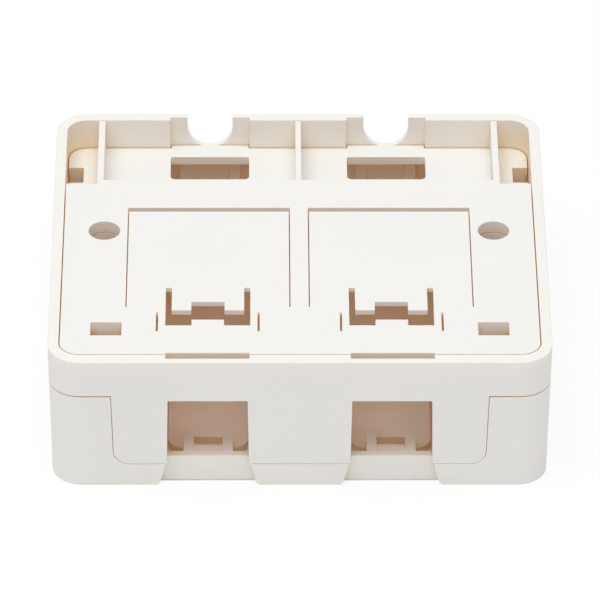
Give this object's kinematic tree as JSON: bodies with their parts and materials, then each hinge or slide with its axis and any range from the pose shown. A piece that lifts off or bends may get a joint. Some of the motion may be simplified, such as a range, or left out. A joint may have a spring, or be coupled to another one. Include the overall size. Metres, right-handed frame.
{
  "type": "surface mount jack box",
  "caption": "Surface mount box for keystone jacks, lying on its cover with the mounting face up: cover, jack frame and base plate with sprung flaps.",
  "frame": {"origin": "centre of the cover's outer face, which the box lies on", "axes": "+Z out of the mounting face, -Y out of the jack ports, +X across the ports"},
  "size_m": [0.094, 0.0818, 0.029],
  "materials": {
    "white_abs": "moulded warm white ABS with a fine matt texture"
  },
  "bodies": {
    "cover": {"cover": "white_abs"},
    "jack_frame": {"jack_frame": "white_abs"},
    "base_plate": {"base_plate": "white_abs"}
  },
  "joints": [
    {"name": "frame_lift_off", "type": "slide", "parent": "cover", "child": "jack_frame", "axis": [0, 0, 1], "range_m": [0, 0.03]},
    {"name": "base_plate_lift_out", "type": "slide", "parent": "jack_frame", "child": "base_plate", "axis": [0, 0, 1], "range_m": [0, 0.015]}
  ]
}
